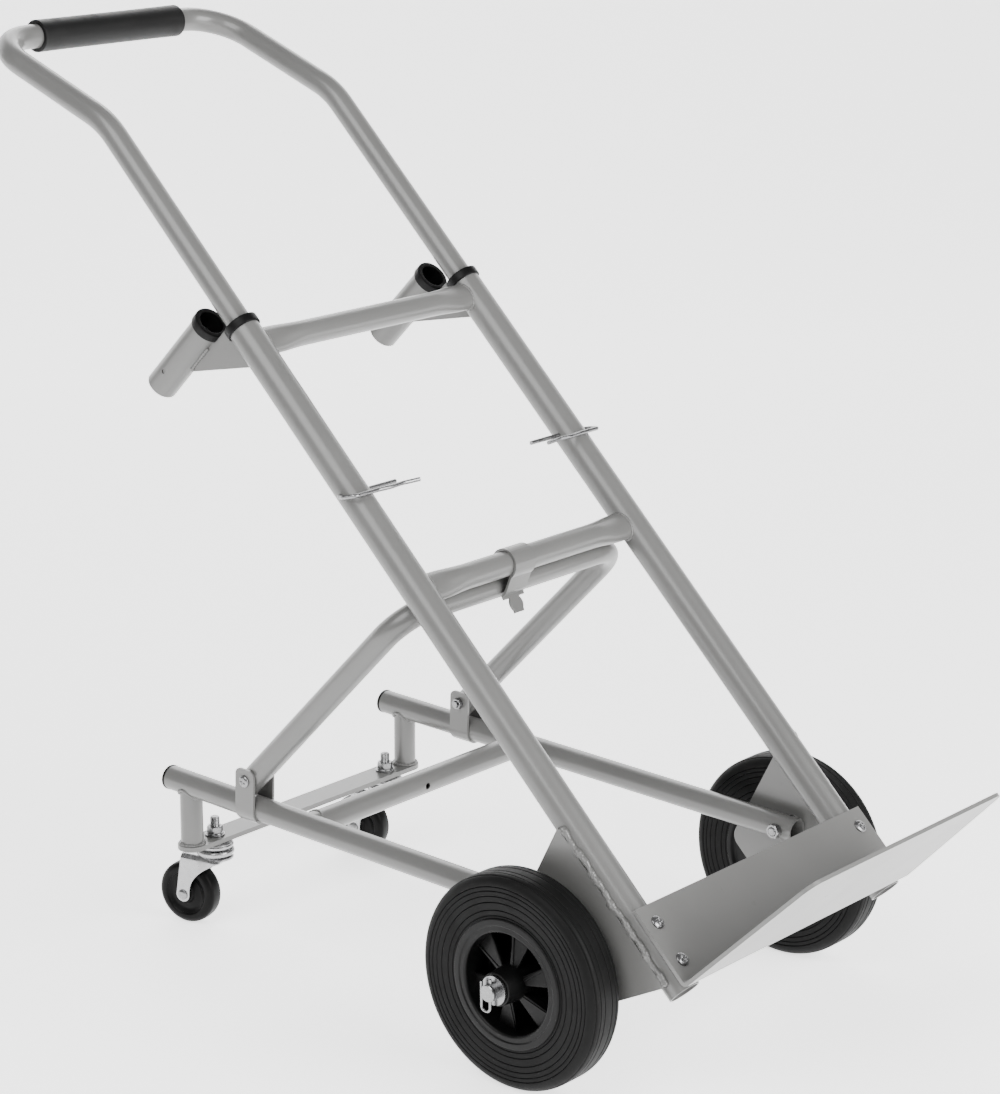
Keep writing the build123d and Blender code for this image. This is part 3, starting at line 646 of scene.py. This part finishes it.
def solid(made, thickness, bevel=0.0):
    shell = made.modifiers.new("sheetThickness", "SOLIDIFY")
    shell.thickness = thickness * mm
    shell.offset = 0.0
    if bevel:
        edge = made.modifiers.new("sheetEdge", "BEVEL")
        edge.width = bevel * mm
        edge.segments = 2
        edge.limit_method = "ANGLE"
        edge.angle_limit = math.radians(50)


def makeCastors():
    look = castorLook
    corners = [(1.2, 6.1), (1.2, 17), (3.5, 20), (6.5, 23.6), (10.4, 23.9),
               (12.4, 22.2), (12.2, 20), (9, 17), (9, 6.1)]
    cupShape = softened(corners, [0.2, 1, 2, 1.5, 1.5, 0.8, 0.6, 1, 0.2], 4, True)
    corners = [(0, 6.05), (0, 20.5), (3, 22.9), (5.5, 22.9), (6.4, 21.6), (7.2, 21.6), (9.9, 19), (9.9, 6.05)]
    capShape = softened(corners, [0.2, 1, 1, 0.5, 0.4, 0.3, 1.6, 0.2], 4, True)
    corners = [(-11, 27), (-12.5, 29), (-12.5, 34), (-9, 39.2), (0, 40),
               (9, 39.2), (12.5, 34), (12.5, 29), (11, 27)]
    tyreShape = softened(corners, [0.4, 1, 2.5, 3, 8, 3, 2.5, 1, 0.4], 5, True)
    corners = [(-14, 4.1), (-14, 11), (-9.5, 13.5), (-8.5, 22), (-11.4, 27),
               (11.4, 27), (8.5, 22), (9.5, 13.5), (14, 11), (14, 4.1)]
    hubShape = softened(corners, [0.2, 1, 2, 2, 0.5, 0.5, 2, 2, 1, 0.2], 4, True)
    corners = [(-18, 0), (-18, 3.9), (18.05, 3.9), (18.05, 6.6), (19.3, 6.6), (20.5, 3.5), (20.5, 0)]
    rivetShape = softened(corners, [0, 0.2, 0.1, 0.5, 0.8, 1, 0], 4)
    headShape = softened([(0, 0), (0, 9), (-2, 8.6), (-3.4, 6), (-3.4, 0)], [0, 0.6, 1, 1, 0], 4)
    flangeShape = softened([(0, 6.05), (0, 11), (1.4, 10.4), (2, 8.8), (2, 6.05)], 0.4, 3, True)
    barY = np.array(joints["castor_left_swivel"]["pos_m"], float)[1]
    nuts = []
    for side, sign in sideSign.items():
        base = np.array([sign * look["stud"] * mm, barY, 0.0])
        wheelAt = np.array(joints[f"castor_{side}_spin"]["pos_m"], float)
        across = np.array(joints[f"castor_{side}_spin"]["axis"], float)
        trailWay = np.cross(upWay, across)
        forkBody, wheelBody = f"castor_fork_{side}", f"castor_wheel_{side}"
        pressing = castorFork(base, trailWay, across)
        fork = piece(f"castor_fork_pressing_{side}", [pressing], "zinc_pressing", forkBody,
                     [f"castor_fork_{side}"])
        solid(fork, look["sheet"], 0.5)
        cup = lathe(cupShape, base + upWay * look["crown"] * mm, upWay, 72, True)
        piece(f"castor_swivel_cup_{side}", [cup], "zinc_pressing", forkBody, sharp=40.0)
        cap = lathe(capShape, base + upWay * look["capBottom"] * mm, upWay, 72, True)
        piece(f"castor_swivel_cap_{side}", [cap], "zinc_pressing", "castor_frame", [f"castor_cap_{side}"],
              sharp=40.0)
        tread = lathe(tyreShape, wheelAt, across, 96, True)
        piece(f"castor_wheel_tread_{side}", [tread], "castor_rubber", wheelBody, [f"castor_tyre_{side}"],
              sharp=50.0)
        core = lathe(hubShape, wheelAt, across, 72, True)
        piece(f"castor_wheel_core_{side}", [core], "castor_plastic", wheelBody, [f"castor_hub_{side}"],
              sharp=40.0)
        rivets = [lathe(rivetShape, wheelAt, across, 40), lathe(rivetShape, wheelAt, -across, 40)]
        piece(f"castor_axle_rivet_{side}", rivets, "zinc_hardware", forkBody, [f"castor_axle_{side}"])
        studBase = base + upWay * (look["crown"] - 0.4) * mm
        stud = thread(studBase, upWay, 6.0, look["studTop"] - look["crown"] + 0.4)
        studHead = lathe(headShape, studBase, upWay, 48)
        piece(f"castor_threaded_stud_{side}", [stud, studHead], "zinc_hardware", "castor_frame",
              [f"castor_stud_{side}"], sharp=50.0)
        nuts.append(washer(base + upWay * look["barTop"] * mm, upWay, 12.5, 6.05, 2))
        nuts.append(lathe(flangeShape, base + upWay * (look["barTop"] + 2) * mm, upWay, 64, True))
        nuts.append(hexNut(base + upWay * (look["barTop"] + 3.2) * mm, upWay, 18, 8.8, 6.0, 0.4))
    piece("castor_flange_nuts", nuts, "zinc_hardware", "castor_frame", ["castor_nuts"], sharp=30.0)


makeCastors()
print("castors made")


# castor frame welds
bracketLook = {"studWeld": 14.2, "crossWeld": 14.6, "drop": 37.1, "spread": 15.3, "wide": 15.6, "deep": 15.4}


def makeCastorWelds():
    beads = []
    barY = np.array(joints["castor_left_swivel"]["pos_m"], float)[1]
    tubeZ = (pivotAt + slopeWay * layout["castorBar"] * mm)[2] / mm
    turn = np.linspace(0, 2 * math.pi, 60)
    gap, tube = layout["castorGap"], layout["tubeRadius"]
    for sign in sideSign.values():
        centre = np.array([sign * gap * mm, barY, 0.0])
        x, y = bracketLook["studWeld"] * np.cos(turn), bracketLook["studWeld"] * np.sin(turn)
        low = centre + mm * np.stack([x, y, np.full(60, castorLook["barTop"] + 0.8)], 1)
        high = centre + mm * np.stack([x, y, tubeZ - np.sqrt(tube ** 2 - x ** 2)], 1)
        beads += [bead(low, upWay, weldLook["stud"], True), bead(high, upWay, weldLook["cross"], True)]
        crossAt = pivotAt + slopeWay * layout["castorCross"] * mm
        around = bracketLook["crossWeld"]
        path = saddle(crossAt, xWay * sign, slopeUp, slopeWay, around, around, gap, tube)
        beads.append(bead(path, xWay * sign, weldLook["small"], True))
        for end in (-1, 1):
            edge = strutBoltAt + mm * (xWay * sign * gap + slopeWay * end * bracketLook["spread"])
            arc = np.linspace(-0.9, 0.9, 20)
            aside = bracketLook["wide"] * np.sin(arc)
            down = bracketLook["drop"] + bracketLook["deep"] * np.cos(arc)
            path = edge + mm * (aside[:, None] * xWay - down[:, None] * slopeUp)
            beads.append(bead(path, slopeWay, weldLook["brackets"]))
    piece("castor_frame_welds", beads, "painted_tube", "castor_frame", material=materials["weld"], sharp=80.0)


makeCastorWelds()


# finish on the carried-over nodes
slots = {part["node"]: part["material_slot"] for part in frame["record"]["subparts"]}
for nodeName, node in frame["nodes"].items():
    node.data.materials.clear()
    node.data.materials.append(materials[slots[nodeName]])
print("finishes set on", len(frame["nodes"]), "nodes")


# floor, light and camera
studio = {"floor": 0.93, "floorGlow": 1.75, "world": 0.3, "key": 175.0, "fill": 330.0, "rim": 45.0}


def makeFloor():
    # Pale floor that curves up behind: height follows a quarter circle past the back line.
    u = np.linspace(-7, 7, 30)
    v = np.linspace(0, 1, 60)
    run = np.clip(v * 14 - 6, -6, 3.5)
    bend = np.clip((v * 14 - 9.5) / 2.5, 0, 1) * math.pi / 2
    high = 2.0 * (1 - np.cos(bend)) + np.clip(v * 14 - 12, 0, 9) * 2
    back = run + 2.0 * np.sin(bend)
    turn = math.radians(40.25)
    a, b = np.meshgrid(u, back, indexing="xy")
    z = np.repeat(high[:, None], 30, 1)
    x = a * math.cos(turn) + b * math.sin(turn)
    y = -a * math.sin(turn) + b * math.cos(turn)
    mesh = bpy.data.meshes.new("studioFloor")
    mesh.from_pydata(np.stack([x, y, z - 0.0004], -1).reshape(-1, 3).tolist(), [],
                     gridFaces(60, 30, False, False).tolist())
    mesh.shade_smooth()
    made = bpy.data.objects.new("studioFloor", mesh)
    bpy.context.scene.collection.objects.link(made)
    white = (1.0, 1.0, 1.0, 1.0)
    material, tree, shader, place = blankMaterial("paleFloor", Roughness=0.9, Emission_Color=white,
                                                    Emission_Strength=studio["floorGlow"])
    feed(tree, shader, Base_Color=noise(place, 3.0).mix(grey(studio["floor"] * 0.985), grey(studio["floor"])))
    mesh.materials.append(material)


def softLight(name, place, target, size, power):
    data = bpy.data.lights.new(name, "AREA")
    data.size = size
    data.energy = power
    lamp = bpy.data.objects.new(name, data)
    lamp.location = place
    way = np.array(target) - np.array(place)
    lamp.rotation_euler = Vector(way).to_track_quat("-Z", "Y").to_euler()
    bpy.context.scene.collection.objects.link(lamp)


def makeStudio():
    makeFloor()
    world = bpy.data.worlds.new("studioWorld")
    world.use_nodes = True
    world.node_tree.nodes["Background"].inputs["Color"].default_value = (1.0, 1.0, 1.0, 1.0)
    world.node_tree.nodes["Background"].inputs["Strength"].default_value = studio["world"]
    bpy.context.scene.world = world
    softLight("keyLight", (-3.2, -0.4, 3.6), (0, 0, 0.5), 3.0, studio["key"])
    softLight("fillLight", (0.5, -4.0, 2.2), (0, 0, 0.5), 3.0, studio["fill"])
    softLight("rimLight", (2.5, 2.8, 3.2), (0, 0, 0.6), 2.5, studio["rim"])


# angles in degrees, distance and target in metres, lens in millimetres
cameraLook = {"azimuth": -49.75, "elevation": 15.71, "roll": 0.28, "distance": 3.7016, "lens": 104.4,
              "target": (-0.0199, -0.0681, 0.5285), "shift": (-0.0051, -0.0004)}


def makeCamera():
    # Stands on the line at the given azimuth and elevation, rolled a little about its own axis.
    look = cameraLook
    azimuth, elevation, roll = (math.radians(look[key]) for key in ("azimuth", "elevation", "roll"))
    back = np.array([math.sin(azimuth) * math.cos(elevation), -math.cos(azimuth) * math.cos(elevation),
                     math.sin(elevation)])
    right = np.cross(upWay, back)
    right /= np.linalg.norm(right)
    up = np.cross(back, right)
    rolledRight = right * math.cos(roll) + up * math.sin(roll)
    rolledUp = up * math.cos(roll) - right * math.sin(roll)
    place = np.array(look["target"]) + back * look["distance"]
    data = bpy.data.cameras.new("camera")
    data.lens = look["lens"]
    data.sensor_width = 36.0
    data.shift_x, data.shift_y = look["shift"]
    data.clip_end = 60.0
    made = bpy.data.objects.new("camera", data)
    matrix = np.eye(4)
    matrix[:3, 0], matrix[:3, 1], matrix[:3, 2], matrix[:3, 3] = rolledRight, rolledUp, back, place
    made.matrix_world = Matrix(matrix.tolist())
    bpy.context.scene.collection.objects.link(made)
    bpy.context.scene.camera = made


makeStudio()
makeCamera()
print("floor, lights and camera set")
